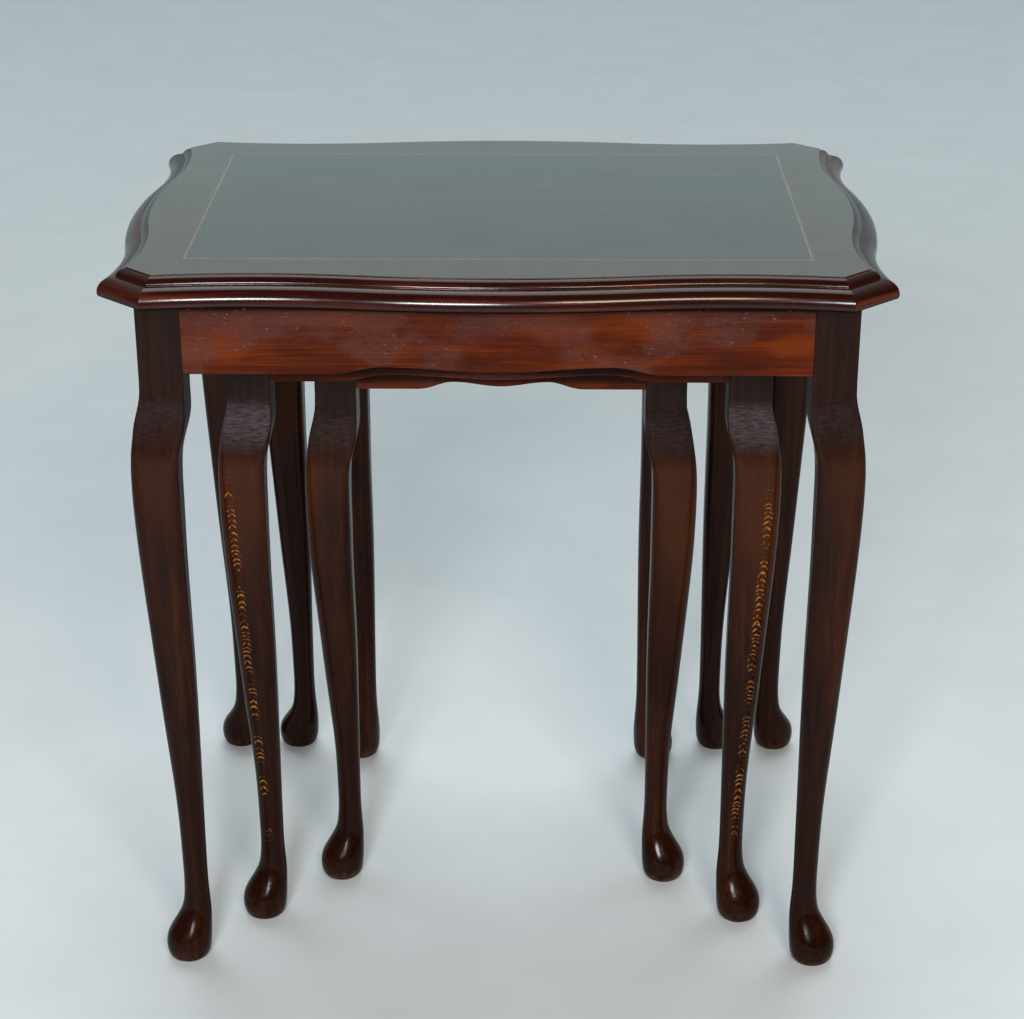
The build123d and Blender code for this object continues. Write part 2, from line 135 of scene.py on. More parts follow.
class Shader:
    """One node material being made. Its position is the point in the frame at rest."""

    def __init__(self, name):
        self.material = bpy.data.materials.new(name)
        self.material.use_nodes = True
        self.tree = self.material.node_tree
        self.tree.nodes.clear()
        self.position = self.add("ShaderNodeTexCoord").outputs["Object"]

    def add(self, kind, inputs=None, **settings):
        node = self.tree.nodes.new(kind)
        for key, value in settings.items():
            setattr(node, key, value)
        for key, value in (inputs or {}).items():
            self.plug(node.inputs[key], value)
        return node

    def plug(self, socket, value):
        if isinstance(value, bpy.types.NodeSocket):
            self.tree.links.new(value, socket)
        elif socket.type == "RGBA":
            socket.default_value = (*value, 1.0)
        else:
            socket.default_value = value

    def maths(self, operation, a, b=0.0):
        return self.add("ShaderNodeMath", {0: a, 1: b}, operation=operation).outputs[0]

    def product(self, *values):
        result = values[0]
        for value in values[1:]:
            result = self.maths("MULTIPLY", result, value)
        return result

    def split(self, vector):
        return self.add("ShaderNodeSeparateXYZ", {0: vector}).outputs

    def joined(self, x, y, z):
        return self.add("ShaderNodeCombineXYZ", {0: x, 1: y, 2: z}).outputs[0]

    def mapped(self, vector, scale=(1, 1, 1), shift=(0, 0, 0)):
        inputs = {"Vector": vector, "Scale": scale, "Location": shift}
        return self.add("ShaderNodeMapping", inputs).outputs[0]

    def noise(self, vector, scale, detail=3.0, roughness=0.5, distortion=0.0):
        inputs = {
            "Vector": vector,
            "Scale": scale,
            "Detail": detail,
            "Roughness": roughness,
            "Distortion": distortion,
        }
        return self.add("ShaderNodeTexNoise", inputs).outputs[0]

    def span(self, value, low, high, to_low=0.0, to_high=1.0):
        """Maps low..high to to_low..to_high with soft ends, held beyond them."""
        node = self.add("ShaderNodeMapRange", interpolation_type="SMOOTHSTEP")
        for index, number in enumerate((value, low, high, to_low, to_high)):
            self.plug(node.inputs[index], number)
        return node.outputs[0]

    def colours(self, value, *stops):
        node = self.add("ShaderNodeValToRGB", {0: value})
        ramp = node.color_ramp
        while len(ramp.elements) < len(stops):
            ramp.elements.new(0.5)
        for element, (place, colour) in zip(ramp.elements, stops):
            element.position = place
            element.color = (*colour, 1.0)
        return node.outputs[0]

    def mix(self, factor, a, b):
        """Mixes two colours."""
        node = self.add("ShaderNodeMix", data_type="RGBA")
        for index, value in ((0, factor), (6, a), (7, b)):
            self.plug(node.inputs[index], value)
        return node.outputs[2]

    def blend(self, factor, a, b):
        """Mixes two numbers."""
        node = self.add("ShaderNodeMix", {0: factor, 2: a, 3: b}, data_type="FLOAT")
        return node.outputs[0]

    def bump(self, height, distance, strength=1.0, normal=None):
        inputs = {"Height": height, "Distance": distance, "Strength": strength}
        if normal is not None:
            inputs["Normal"] = normal
        return self.add("ShaderNodeBump", inputs).outputs[0]

    def eased(self, radius):
        """The surface normal with sharp edges eased by a small radius."""
        return self.add("ShaderNodeBevel", {"Radius": radius}, samples=4).outputs[0]

    def edge_wear(self, radius):
        """1 on sharp outer edges, 0 on the faces between them."""
        rounded = self.eased(radius)
        plain = self.add("ShaderNodeNewGeometry").outputs["Normal"]
        inputs = {0: rounded, 1: plain}
        facing = self.add("ShaderNodeVectorMath", inputs, operation="DOT_PRODUCT").outputs["Value"]
        return self.span(facing, 0.97, 0.80)

    def finish(self, colour, roughness, normal, sockets=None):
        inputs = {"Base Color": colour, "Roughness": roughness, "Normal": normal}
        inputs.update(sockets or {})
        shader = self.add("ShaderNodeBsdfPrincipled", inputs).outputs[0]
        self.add("ShaderNodeOutputMaterial", {"Surface": shader})
        return self.material


# ---------------------------------------------------------------- wood

def stretched(axis, amount):
    """A scale that draws a texture out along one axis."""
    scale = [1.0, 1.0, 1.0]
    scale[axis] = 1.0 / amount
    return scale


def figure(s, vector, axis, shift):
    """Broad bands, streaks, fibres and pores of wood whose grain runs along an axis."""
    band = s.noise(
        s.mapped(vector, stretched(axis, 14), shift),
        scale=52, detail=3.0, roughness=0.55, distortion=0.6,
    )
    streak = s.noise(
        s.mapped(vector, stretched(axis, 26), shift),
        scale=230, detail=4.0, roughness=0.6, distortion=0.25,
    )
    fibre = s.noise(
        s.mapped(vector, stretched(axis, 45), shift),
        scale=900, detail=2.0, roughness=0.6,
    )
    pore = s.noise(
        s.mapped(vector, stretched(axis, 9), shift),
        scale=1700, detail=1.0, roughness=0.5,
    )
    pore = s.span(pore, 0.60, 0.74)
    return band, streak, fibre, pore


def varnish_texture(s, shift):
    """The gentle unevenness of brushed and rubbed lacquer, and its small specks."""
    ripple = s.noise(s.mapped(s.position, shift=shift), scale=95, detail=2.0, roughness=0.5)
    specks = s.noise(s.mapped(s.position, shift=shift), scale=620, detail=1.0, roughness=0.5)
    return ripple, s.span(specks, 0.70, 0.80)


def shifted(index):
    """Where in the tree the grain of a numbered piece comes from."""
    return (0.37 * index + 0.11, 0.53 * index + 0.29, 0.71 * index + 0.17)


# ---------------------------------------------------------------- legs

def fleck_chain(s, foot_x, knee_x, knee_z):
    """A chain of pale growth-ring arcs down the front of a leg."""
    x, _, z = s.split(s.position)
    share = s.maths("DIVIDE", s.maths("SUBTRACT", z, ANKLE_Z), knee_z - ANKLE_Z)
    centre = s.maths("MULTIPLY_ADD", share, knee_x - foot_x)
    centre.node.inputs[2].default_value = foot_x
    wander = s.noise(s.joined(0.0, 0.0, z), scale=38, detail=2.0)
    wander = s.product(s.maths("SUBTRACT", wander, 0.5), CHAIN_WIDTH * 1.6)
    off_centre = s.maths("ADD", s.maths("SUBTRACT", x, centre), wander)
    across = s.maths("DIVIDE", off_centre, CHAIN_WIDTH)
    cup = s.product(across, across, RING_CUP)
    swell = s.product(s.noise(s.joined(0.0, 0.0, z), scale=34, detail=2.0), RING_DRIFT)
    phase = s.maths("ADD", s.maths("ADD", s.product(z, RINGS_PER_METRE), cup), swell)
    rings = s.maths("SINE", s.product(phase, 2 * pi))
    rings = s.span(rings, 0.1, 0.9)
    middle = s.span(s.maths("ABSOLUTE", across), 1.05, 0.55)
    patchy = s.span(s.noise(s.joined(foot_x, 0.0, z), scale=47, detail=2.0), 0.43, 0.57, 0.05, 1.0)
    broken = s.span(s.noise(s.position, scale=480, detail=2.0), 0.38, 0.60)
    low = s.span(z, CHAIN_STARTS_Z, CHAIN_FULL_Z)
    high = s.span(z, knee_z + CHAIN_FADE, knee_z)
    return s.product(rings, middle, patchy, broken, low, high)


def leg_material(table, corner, index):
    """Dark stained beech: brown below the knee under a painted warm glow, near black at the block, and
    with dust and a painted sheen on the knee.
    """
    s = Shader(f"{table}_{corner}_leg_beech")
    shift = shifted(index)
    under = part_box(f"{table}_top_board")[0].z
    low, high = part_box(f"{table}_{corner}_leg")
    band, streak, fibre, pore = figure(s, s.position, Z, shift)
    tone = s.maths("ADD", s.product(band, 0.55), s.product(streak, 0.45))
    tone = s.maths("ADD", tone, s.product(s.maths("SUBTRACT", fibre, 0.5), 0.22))
    colour = s.colours(tone, (0.30, LEG_DARK), (0.52, LEG_MID), (0.72, LEG_LIGHT))
    z = s.split(s.position)[Z]

    patches = s.noise(s.mapped(s.position, (1, 1, 0.4), shift), scale=26, detail=2.0)
    # Painted light: a warm glow painted onto the upper leg below the knee.
    below = s.span(z, under - GLOW_END_DOWN, under - GLOW_FULL_DOWN)
    above = s.span(z, under - GLOW_TOP_DOWN, under - BLOCK_LOW_DOWN)
    glow = s.product(below, above, s.span(patches, 0.30, 0.66), GLOW[table])
    colour = s.mix(glow, colour, LEG_GLOW)

    uneven = s.product(s.maths("SUBTRACT", patches, 0.5), BLOCK_UNEVENNESS)
    block_height = s.maths("ADD", z, uneven)
    block = s.span(block_height, under - BLOCK_LOW_DOWN, under - BLOCK_FULL_DOWN)
    block_colour = s.mix(s.span(streak, 0.35, 0.65), LEG_BLOCK, LEG_MID)
    colour = s.mix(s.product(block, 0.85), colour, block_colour)

    if table == "medium" and corner.startswith("front"):
        side = -1 if corner.endswith("left") else 1
        outer = low.x if side < 0 else high.x
        foot_x = outer - side * CHAIN_FOOT_IN
        knee_x = outer - side * CHAIN_KNEE_IN
        chain = fleck_chain(s, foot_x, knee_x, under - CHAIN_KNEE_DOWN)
        colour = s.mix(s.product(chain, CHAIN_STRENGTH), colour, FLECK_GOLD)

    speckle = s.noise(
        s.mapped(s.position, (1, 1, 0.35), shift),
        scale=620, detail=2.0, roughness=0.7,
    )
    speckle = s.span(speckle, 0.60, 0.72)
    colour = s.mix(s.product(speckle, 0.30), colour, LEG_LIGHT)

    # Dust on the upward-facing knee, with a painted bluish sheen of light mixed into the same colour.
    up = s.split(s.add("ShaderNodeNewGeometry").outputs["Normal"])[Z]
    rubbed = s.noise(
        s.mapped(s.position, (0.18, 1, 1.6), shift),
        scale=900, detail=3.0, roughness=0.6,
    )
    at_knee = s.span(z, under - DUST_AND_SHEEN_LOW_DOWN, under - DUST_AND_SHEEN_FULL_DOWN)
    knee_dust_and_sheen = s.product(s.span(up, 0.02, 0.22), at_knee)
    knee_dust_and_sheen = s.product(knee_dust_and_sheen, s.span(rubbed, 0.36, 0.70, 0.25, 1.0), KNEE_DUST_AND_SHEEN[table])
    colour = s.mix(s.product(knee_dust_and_sheen, 0.75), colour, DUST_AND_SHEEN)

    scuffs = s.noise(s.mapped(s.position, shift=shift), scale=130, detail=4.0, roughness=0.7)
    worn = s.product(s.span(z, SCUFF_TOP_Z, SCUFF_FULL_Z), s.span(scuffs, 0.40, 0.64))
    colour = s.mix(s.product(worn, WEAR[table]), colour, LEG_WORN)
    colour = s.mix(s.product(pore, 0.45), colour, LEG_DARK)

    rough = s.blend(s.span(z, 0.0, SHIN_Z), 0.20, 0.34)
    rough = s.maths("ADD", rough, s.product(s.maths("SUBTRACT", streak, 0.5), 0.20))
    rough = s.blend(s.maths("MAXIMUM", block, knee_dust_and_sheen), rough, 0.40)
    normal = s.bump(
        s.maths("SUBTRACT", fibre, s.product(pore, 0.8)),
        distance=0.00008, strength=0.55, normal=s.eased(0.0006),
    )
    return s.finish(colour, rough, normal, LEG_LACQUER)


# ---------------------------------------------------------------- aprons

def apron_material(table, name, axis, index):
    """Red-brown stained boards, orange where the stain is thin and grey where dust has dulled it, with
    painted shade and a painted shadow line under the moulding, and painted shadow on the inner tables'
    fronts.
    """
    s = Shader(f"{table}_{name}_mahogany")
    shift = shifted(index)
    low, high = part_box(f"{table}_{name}")
    band, streak, fibre, pore = figure(s, s.position, axis, shift)
    tone = s.maths("ADD", s.product(band, 0.30), s.product(streak, 0.45))
    tone = s.maths("ADD", tone, s.product(fibre, 0.25))
    colour = s.colours(tone, (0.34, APRON_DARK), (0.50, APRON_MID), (0.66, APRON_LIGHT))

    clouds = s.noise(
        s.mapped(s.position, stretched(axis, 2.2), shift),
        scale=24, detail=3.0, roughness=0.5,
    )
    colour = s.mix(s.product(s.span(clouds, 0.50, 0.64), 0.60), colour, APRON_LIGHT)
    colour = s.mix(s.product(s.span(clouds, 0.48, 0.34), 0.50), colour, APRON_DARK)
    haze = s.noise(
        s.mapped(s.position, stretched(axis, 1.5), shift[::-1]),
        scale=22, detail=4.0, roughness=0.6,
    )
    z = s.split(s.position)[Z]
    height = s.span(z, low.z, high.z)
    haze = s.span(s.maths("ADD", haze, s.product(height, 0.20)), 0.52, 0.68)
    colour = s.mix(s.product(haze, 0.55), colour, APRON_DUSTY)
    # Painted shade: the top of the apron darkened under the moulding's overhang.
    shade = s.span(z, high.z - SHADE_DEPTH, high.z)
    colour = s.mix(s.product(shade, 0.50), colour, APRON_DARK)
    # Painted shadow: a near-black line painted just under the moulding.
    shadow_under_moulding = s.span(z, high.z - SHADOW_UNDER_MOULDING_LOW_DOWN, high.z - SHADOW_UNDER_MOULDING_FULL_DOWN)
    colour = s.mix(s.product(shadow_under_moulding, 0.85), colour, PAINTED_SHADE_DARK)

    # Painted shadow: the inner tables' fronts darkened where the apron in front shades them, all but a
    # strip at the lower edge.
    if table != "large" and name == "front_apron":
        shadow_line = s.span(z, low.z + SHADOW_LOW_UP, low.z + SHADOW_FULL_UP)
        colour = s.mix(s.product(shadow_line, 0.80), colour, PAINTED_SHADE_DARK)

    specks = s.noise(
        s.mapped(s.position, stretched(axis, 1.6), shift),
        scale=520, detail=3.0, roughness=0.7,
    )
    specks = s.product(s.span(specks, 0.63, 0.74), s.span(haze, 0.0, 0.7))
    colour = s.mix(s.product(specks, 0.65), colour, DUST_AND_SHEEN)
    colour = s.mix(s.product(pore, 0.5), colour, APRON_DARK)

    rough = s.blend(haze, 0.30, 0.52)
    rough = s.maths("ADD", rough, s.product(s.maths("SUBTRACT", fibre, 0.5), 0.20))
    normal = s.bump(
        s.maths("SUBTRACT", fibre, pore),
        distance=0.00009, strength=0.5, normal=s.eased(0.0006),
    )
    return s.finish(colour, rough, normal, APRON_LACQUER)


# ---------------------------------------------------------------- tops

def by_side(s, table):
    """1 where the nearest side of the top runs along Y, 0 where it runs along X."""
    low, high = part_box(f"{table}_top_board")
    x, y, _ = s.split(s.position)
    middle_y = (low.y + high.y) / 2
    out_x = s.maths("SUBTRACT", s.maths("ABSOLUTE", x), high.x)
    from_middle = s.maths("ABSOLUTE", s.maths("SUBTRACT", y, middle_y))
    out_y = s.maths("SUBTRACT", from_middle, (high.y - low.y) / 2)
    return s.maths("GREATER_THAN", out_x, out_y)


def turned(s, side):
    """The position with X and Y swapped where side is 1."""
    x, y, z = s.split(s.position)
    return s.joined(s.blend(side, x, y), s.blend(side, y, x), z)


def moulding_material(table, index):
    """Deep red-brown wood under thick gloss lacquer, with the lacquer thin on its edges and painted
    shade on its unlacquered underside.
    """
    s = Shader(f"{table}_edge_moulding_mahogany")
    shift = shifted(index)
    along = s.add("ShaderNodeAttribute", attribute_name="along_grain").outputs["Fac"]
    around = s.add("ShaderNodeAttribute", attribute_name="round_section").outputs["Fac"]
    vector = s.joined(along, around, 0.0)
    band, streak, fibre, pore = figure(s, vector, X, shift)
    tone = s.maths("ADD", s.product(band, 0.5), s.product(streak, 0.5))
    colour = s.colours(tone, (0.34, MOULDING_DARK), (0.50, MOULDING_MID), (0.70, MOULDING_LIGHT))
    colour = s.mix(s.product(pore, 0.4), colour, MOULDING_DARK)
    patches = s.noise(s.mapped(s.position, shift=shift), scale=30, detail=2.0)
    worn = s.product(s.edge_wear(WORN_EDGE_RADIUS), s.span(patches, 0.42, 0.62))
    colour = s.mix(s.product(worn, 0.55), colour, MOULDING_LIGHT)
    ripple, specks = varnish_texture(s, shift)
    scratches = s.noise(
        s.mapped(vector, stretched(X, 0.12), shift),
        scale=150, detail=2.0, roughness=0.6,
    )
    dents = s.noise(
        s.mapped(vector, stretched(X, 2.5), shift),
        scale=330, detail=2.0, roughness=0.5,
    )
    rough = s.maths("ADD", s.span(scratches, 0.35, 0.75, 0.18, 0.32), s.product(worn, 0.15))
    # Downward-facing faces are left unlacquered and rough, and their near-black colour is painted shade.
    up = s.split(s.add("ShaderNodeNewGeometry").outputs["Normal"])[Z]
    lacquered_and_unshaded = s.span(up, -0.55, -0.20)
    colour = s.mix(lacquered_and_unshaded, PAINTED_SHADE_DARK, colour)
    rough = s.blend(lacquered_and_unshaded, UNLACQUERED_ROUGHNESS, rough)
    height = s.maths("ADD", s.product(ripple, 0.6), s.product(specks, 0.35))
    height = s.maths("ADD", height, s.product(dents, 0.30))
    normal = s.bump(height, distance=0.00035, strength=0.34, normal=s.eased(0.0005))
    coat = {"Coat Weight": s.product(lacquered_and_unshaded, MOULDING_COAT)}
    return s.finish(colour, rough, normal, MOULDING_LACQUER | coat)


def top_finish(s, colour, shift):
    """The rubbed high gloss over every veneer of the top, with fine scratches and specks."""
    ripple, specks = varnish_texture(s, shift)
    cross = s.noise(
        s.mapped(s.position, stretched(X, 22), shift),
        scale=460, detail=2.0, roughness=0.5,
    )
    scuff = s.noise(s.mapped(s.position, shift=shift), scale=14, detail=4.0, roughness=0.6)
    unevenness = s.maths("ADD", s.product(cross, 0.4), s.product(scuff, 0.6))
    rough = s.span(unevenness, 0.40, 0.62, 0.22, 0.34)
    colour = s.mix(s.product(specks, 0.12), colour, DUST_AND_SHEEN)
    height = s.maths("ADD", s.product(ripple, 0.5), s.product(specks, 0.3))
    normal = s.bump(height, distance=0.00012, strength=0.16)
    return s.finish(colour, rough, normal, TOP_LACQUER)


def veneer_colour(s, vector, axis, shift):
    """Quiet stripes of straight-grained mahogany veneer."""
    band, streak, fibre, pore = figure(s, vector, axis, shift)
    tone = s.maths("ADD", s.product(band, 0.40), s.product(streak, 0.40))
    tone = s.maths("ADD", tone, s.product(fibre, 0.20))
    colour = s.colours(tone, (0.34, TOP_DARK), (0.50, TOP_MID), (0.68, TOP_LIGHT))
    return s.mix(s.product(pore, 0.5), colour, TOP_DARK)


def centre_veneer_material(table, index):
    s = Shader(f"{table}_centre_veneer_mahogany")
    shift = shifted(index)
    return top_finish(s, veneer_colour(s, s.position, X, shift), shift)


def cross_banding_material(table, index):
    """The border, whose grain runs across it and is mitred at the corners."""
    s = Shader(f"{table}_cross_banding_mahogany")
    shift = shifted(index)
    vector = turned(s, by_side(s, table))
    colour = veneer_colour(s, vector, Y, shift)
    warm = s.mix(BANDING_REDNESS, colour, MOULDING_LIGHT)
    return top_finish(s, warm, shift)


def string_material(table, index):
    s = Shader(f"{table}_string_inlay_boxwood")
    shift = shifted(index)
    aged = s.noise(s.mapped(s.position, shift=shift), scale=60, detail=3.0, roughness=0.6)
    colour = s.mix(s.span(aged, 0.35, 0.65), STRING_DARK, STRING_PALE)
    return top_finish(s, colour, shift)


# ---------------------------------------------------------------- unfinished wood and steel

def bare_wood(name, axis, index, dark, light, roughness):
    """Wood out of sight, left without stain or lacquer."""
    s = Shader(name)
    shift = shifted(index)
    band, streak, fibre, pore = figure(s, s.position, axis, shift)
    tone = s.maths("ADD", s.product(band, 0.5), s.product(streak, 0.5))
    colour = s.mix(s.span(tone, 0.36, 0.64), dark, light)
    colour = s.mix(s.product(pore, 0.5), colour, dark)
    rough = s.span(fibre, 0.3, 0.7, roughness - 0.08, roughness + 0.08)
    normal = s.bump(
        s.maths("SUBTRACT", fibre, pore),
        distance=0.0001, strength=0.6, normal=s.eased(0.0005),
    )
    return s.finish(colour, rough, normal)


def screw_material(table, index):
    """Zinc-plated steel, dulled."""
    s = Shader(f"{table}_screws_steel")
    tarnish = s.noise(
        s.mapped(s.position, shift=shifted(index)),
        scale=700, detail=3.0, roughness=0.6,
    )
    colour = s.mix(s.span(tarnish, 0.35, 0.65), STEEL_DARK, STEEL_LIGHT)
    rough = s.span(tarnish, 0.3, 0.7, 0.28, 0.52)
    normal = s.bump(tarnish, distance=0.00003, strength=0.5)
    return s.finish(colour, rough, normal, {"Metallic": 1.0})


# ---------------------------------------------------------------- moulded edges

MM = 0.001
CANT_X = 18.7 * MM
CANT_Y = 17.2 * MM
HOLLOW_AT = 0.69
HOLLOW_DEPTH = {"large": 5.0 * MM, "medium": 4.2 * MM, "small": 3.2 * MM}
BULGE_HEIGHT = {"large": 5.0 * MM, "medium": 4.2 * MM, "small": 3.6 * MM}
LIPPING_WIDTH = 12.0 * MM
HALF_GLUE_LINE = 0.025 * MM
VENEER = 0.8 * MM
TOP_THICKNESS = 19.0 * MM
HOLLOW_STEPS = 26
BULGE_STEPS = 40
CANT_STEPS = 8
OVOLO_STEPS = 10
SWELL_STEPS = 16
SMOOTH_ANGLE = radians(38)

# The section in millimetres, each point (outwards, down) from the top's upper edge.
OVOLO = ((0.0, 0.8), (3.96, 2.3), (6.0, 5.0))
QUIRK_CORNER = (6.0, 6.0)
SWELL = ((7.4, 6.0), (14.65, 9.06), (17.2, 15.0))
ROUNDED_FOOT = [(17.2, 16.3), (17.1, 17.1), (16.75, 17.9), (16.1, 18.6), (15.3, 18.95), (14.8, 19.0)]
RUBBED = 0.22

# How far the grain of one length starts from the last one's, so that no two match.
GRAIN_STEP = 1.7
GIRTH_STEP = 0.31


def arc_points(start, middle, end, steps):
    """Points along the circular arc through three points of a plane, both ends included."""
    (ax, ay), (bx, by), (cx, cy) = start, middle, end
    twice_area = 2 * (ax * (by - cy) + bx * (cy - ay) + cx * (ay - by))
    a2, b2, c2 = ax * ax + ay * ay, bx * bx + by * by, cx * cx + cy * cy
    centre_x = (a2 * (by - cy) + b2 * (cy - ay) + c2 * (ay - by)) / twice_area
    centre_y = (a2 * (cx - bx) + b2 * (ax - cx) + c2 * (bx - ax)) / twice_area
    radius = hypot(ax - centre_x, ay - centre_y)
    first = atan2(ay - centre_y, ax - centre_x)
    sweep = atan2(cy - centre_y, cx - centre_x) - first
    sweep = (sweep + pi) % (2 * pi) - pi
    angles = [first + sweep * i / steps for i in range(steps + 1)]
    return [(centre_x + radius * cos(a), centre_y + radius * sin(a)) for a in angles]


def edge_section():
    """The moulding's section as (outwards, down) points in metres, with its arrises rubbed soft."""
    ovolo = arc_points(*OVOLO, OVOLO_STEPS)
    swell = arc_points(*SWELL, SWELL_STEPS)
    ovolo_out, ovolo_down = OVOLO[2]
    quirk_out, quirk_down = QUIRK_CORNER
    swell_out, swell_down = SWELL[0]
    rubbed_ovolo = [
        (ovolo_out - 0.1 * RUBBED, ovolo_down - 0.5 * RUBBED),
        (ovolo_out, ovolo_down + RUBBED),
    ]
    rubbed_quirk = [
        (quirk_out, quirk_down - RUBBED),
        (quirk_out + 0.3 * RUBBED, quirk_down - 0.3 * RUBBED),
        (quirk_out + RUBBED, quirk_down),
    ]
    rubbed_swell = [
        (swell_out - RUBBED, swell_down),
        (swell_out - 0.25 * RUBBED, swell_down + 0.1 * RUBBED),
    ]
    points = ovolo[:-1] + rubbed_ovolo + rubbed_quirk + rubbed_swell + swell[1:] + ROUNDED_FOOT
    return [(out * MM, down * MM) for out, down in points]


def top_corners(table):
    """The eight corners of the top's upper edge, anticlockwise from the front left."""
    low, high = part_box(f"{table}_cross_banding")
    bulge = BULGE_HEIGHT[table]
    x, front, back = high.x - bulge, low.y + bulge, high.y - bulge
    places = (
        (-x + CANT_X, front),
        (x - CANT_X, front),
        (x, front + CANT_Y),
        (x, back - CANT_Y),
        (x - CANT_X, back),
        (-x + CANT_X, back),
        (-x, back - CANT_Y),
        (-x, front + CANT_Y),
    )
    return [Vector(place) for place in places]


class Side:
    """One length of the moulded edge between two corners.

    In its own coordinates X runs along it from its middle and outwards is -Y.
    """

    def __init__(self, table, number, corners):
        self.start, self.end = corners[number], corners[(number + 1) % len(corners)]
        self.curved = number % 2 == 0
        self.half = (self.end - self.start).length / 2
        self.along = (self.end - self.start).normalized()
        self.outwards = Vector((self.along.y, -self.along.x))
        self.middle = (self.start + self.end) / 2
        bulge, hollow = BULGE_HEIGHT[table], HOLLOW_DEPTH[table]
        reach = self.half * (1 - HOLLOW_AT)
        self.hollow_radius = (reach ** 2 + hollow ** 2) / (2 * hollow)
        deep_x = HOLLOW_AT * self.half
        both = (deep_x ** 2 + (hollow + bulge) ** 2) / (2 * (hollow + bulge))
        self.bulge_radius = both - self.hollow_radius
        self.hollow_centre = Vector((deep_x, hollow - self.hollow_radius))
        self.bulge_centre = Vector((0.0, self.bulge_radius - bulge))
        self.lean = asin(reach / self.hollow_radius) if self.curved else 0.0

    def normal_at_end(self, sign):
        """Outward normal of the upper edge at the start (-1) or the end (1), in the frame."""
        return self.outwards * cos(self.lean) - self.along * (sign * sin(self.lean))

    def to_frame(self, x, y):
        return self.middle + self.along * x - self.outwards * y

    def to_own(self, direction):
        return Vector((direction.dot(self.along), -direction.dot(self.outwards)))

    def mitre_point(self, sign, mitre, out):
        """Where the line at a distance outwards meets the mitre at one end."""
        corner = Vector((sign * (self.half - HALF_GLUE_LINE), 0.0))
        line = self.to_own(mitre)
        if not self.curved:
            return corner + line * (out / -line.y)
        centre = Vector((sign * self.hollow_centre.x, self.hollow_centre.y))
        radius = self.hollow_radius - out
        from_centre = corner - centre
        b = from_centre.dot(line)
        c = from_centre.length_squared - radius ** 2
        return corner + line * (-b - sqrt(b * b - c))

    def line_at(self, out, mitres):
        """Points from mitre to mitre at a distance outwards from the upper edge."""
        ends = [self.mitre_point(sign, mitre, out) for sign, mitre in zip((-1, 1), mitres)]
        if not self.curved:
            shares = [i / CANT_STEPS for i in range(CANT_STEPS + 1)]
            return [self.to_frame(*ends[0].lerp(ends[1], share)) for share in shares]
        centre = self.hollow_centre
        towards = self.bulge_centre - centre
        meet_angle = atan2(towards.y, towards.x)
        end_angle = atan2(ends[1].y - centre.y, ends[1].x - centre.x)
        hollow_radius = self.hollow_radius - out
        hollow = []
        for i in range(HOLLOW_STEPS + 1):
            angle = meet_angle + (end_angle - meet_angle) * i / HOLLOW_STEPS
            hollow.append((centre.x + hollow_radius * cos(angle), centre.y + hollow_radius * sin(angle)))
        away = atan2(-towards.x, towards.y)
        bulge_radius = self.bulge_radius + out
        bulge = []
        for i in range(1, BULGE_STEPS):
            angle = away * (2 * i / BULGE_STEPS - 1)
            bulge.append((bulge_radius * sin(angle), self.bulge_centre.y - bulge_radius * cos(angle)))
        left = [(-x, y) for x, y in reversed(hollow)]
        return [self.to_frame(x, y) for x, y in left + bulge + hollow]


def edge_lengths(table):
    """For each of the eight lengths, a line of points along it for each point of the section."""
    corners = top_corners(table)
    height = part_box(f"{table}_centre_veneer")[1].z
    sides = [Side(table, number, corners) for number in range(len(corners))]
    mitres = []
    for number in range(len(corners)):
        both = sides[number - 1].normal_at_end(1) + sides[number].normal_at_end(-1)
        mitres.append(both.normalized())
    section = edge_section()
    lengths = []
    for number, side in enumerate(sides):
        pair = (mitres[number], mitres[(number + 1) % len(mitres)])
        lines = []
        for out, down in section:
            lines.append([Vector((*point, height - down)) for point in side.line_at(out, pair)])
        steps = len(lines[0])
        inner_start = side.start - pair[0] * LIPPING_WIDTH + side.along * HALF_GLUE_LINE
        inner_end = side.end - pair[1] * LIPPING_WIDTH - side.along * HALF_GLUE_LINE
        inner = [inner_start.lerp(inner_end, i / (steps - 1)) for i in range(steps)]
        for depth in (TOP_THICKNESS, VENEER):
            lines.append([Vector((*point, height - depth)) for point in inner])
        lengths.append(lines)
    return lengths


def length_faces(first, rings, steps):
    """The skin and the two mitred ends of one length, whose points start at an index."""
    faces = []
    for ring in range(rings):
        after = (ring + 1) % rings
        for step in range(steps - 1):
            a = first + ring * steps + step
            b = first + after * steps + step
            faces.append((a, a + 1, b + 1, b))
    faces.append([first + ring * steps for ring in range(rings)])
    faces.append([first + ring * steps + steps - 1 for ring in reversed(range(rings))])
    return faces


def make_edge(table, index):
    """The moulded edge of one top: eight closed lengths, mitred at the corners of the cants."""
    mesh = bpy.data.meshes.new(f"{table}_moulded_edge")
    points, faces, along, around = [], [], [], []
    for number, lines in enumerate(edge_lengths(table)):
        steps = len(lines[0])
        middle = steps // 2
        faces += length_faces(len(points), len(lines), steps)
        girth = 0.0
        for line_number, line in enumerate(lines):
            if line_number > 0:
                girth += (line[middle] - lines[line_number - 1][middle]).length
            distance = number * GRAIN_STEP
            for step, point in enumerate(line):
                if step > 0:
                    distance += (point - line[step - 1]).length
                points.append(point)
                along.append(distance)
                around.append(girth + number * GIRTH_STEP)
    mesh.from_pydata(points, [], faces)
    for name, values in (("along_grain", along), ("round_section", around)):
        mesh.attributes.new(name, "FLOAT", "POINT").data.foreach_set("value", values)
    mesh.shade_smooth()
    mesh.set_sharp_from_angle(angle=SMOOTH_ANGLE)
    mesh.materials.append(moulding_material(table, index))
    edge = bpy.data.objects.new(f"{table}_moulded_edge", mesh)
    bpy.context.scene.collection.objects.link(edge)
    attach(edge, table)
    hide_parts(f"{table}_edge_moulding")


# ---------------------------------------------------------------- the tables

